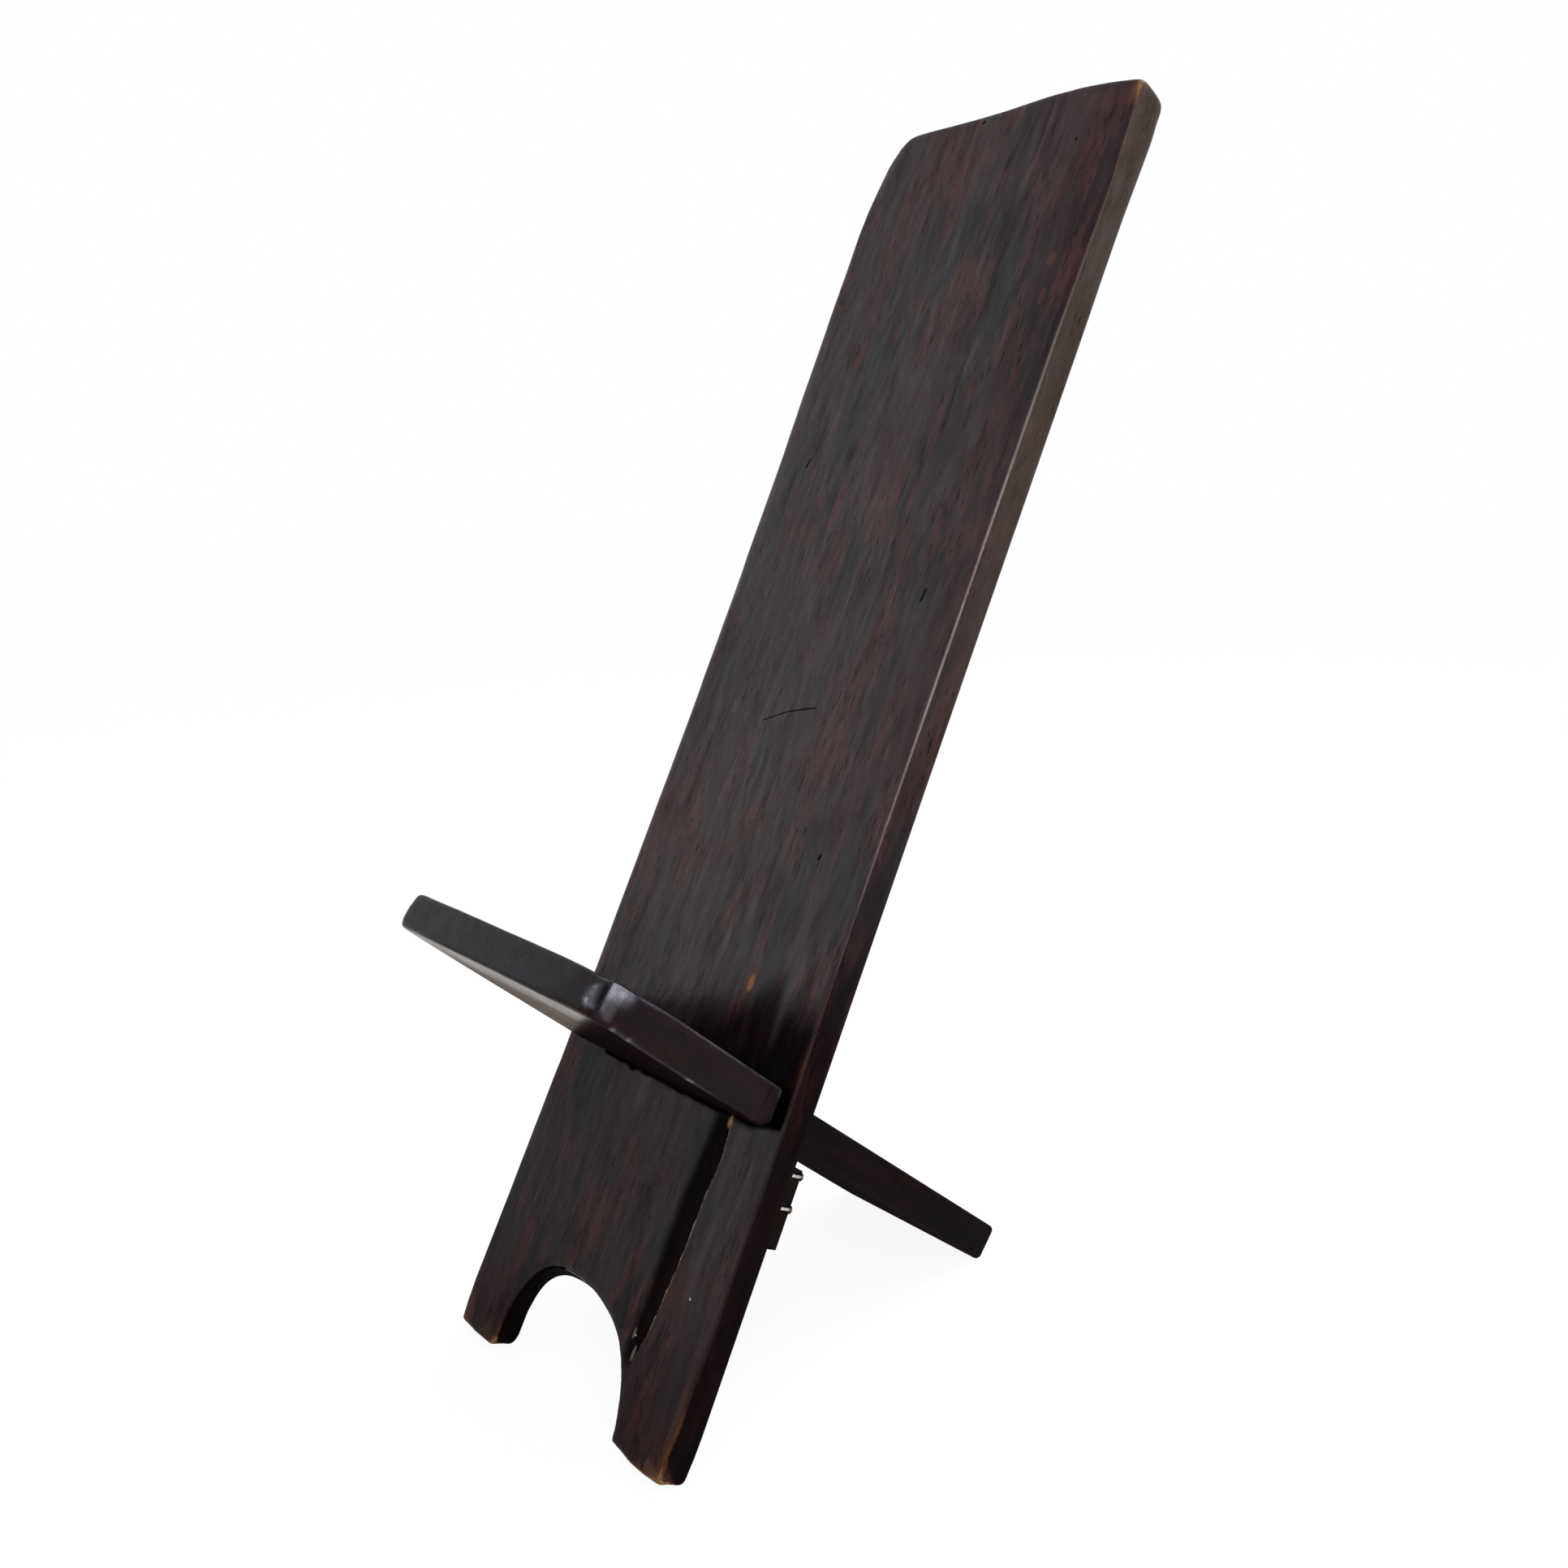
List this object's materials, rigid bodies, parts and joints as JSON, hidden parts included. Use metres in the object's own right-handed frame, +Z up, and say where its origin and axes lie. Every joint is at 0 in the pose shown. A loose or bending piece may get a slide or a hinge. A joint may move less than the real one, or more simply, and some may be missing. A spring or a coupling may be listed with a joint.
{
  "type": "two-plank birthing chair",
  "caption": "Low reclining chair of two interlocking hardwood planks: a leaning back on arched feet, and a seat whose tongue passes through the back to the floor.",
  "frame": {"origin": "middle of the chair's box, on the floor", "axes": "+Z up; the sitter faces -Y; X runs across both planks, with the side that the batten's end shows on at +X"},
  "size_m": [0.2724, 0.5656, 0.9587],
  "materials": {
    "back_wood": "dark stained and polished by handling, with red-brown streaks along the grain and bare wood at worn edges",
    "seat_wood": "dark stained and polished by handling, with worn arrises",
    "cleat_wood": "dark stained, rubbed at the arrises",
    "nail_iron": "forged nails, heads darkened and shanks rubbed bright"
  },
  "bodies": {
    "back": {"back_plank": "back_wood", "back_cleat": "cleat_wood", "cleat_nails": "nail_iron"},
    "seat": {"seat_plank": "seat_wood"}
  },
  "joints": [
    {"name": "seat_slide", "type": "slide", "parent": "back", "child": "seat", "axis": [0, -0.7547, 0.6561], "range_m": [0, 0.358]}
  ]
}
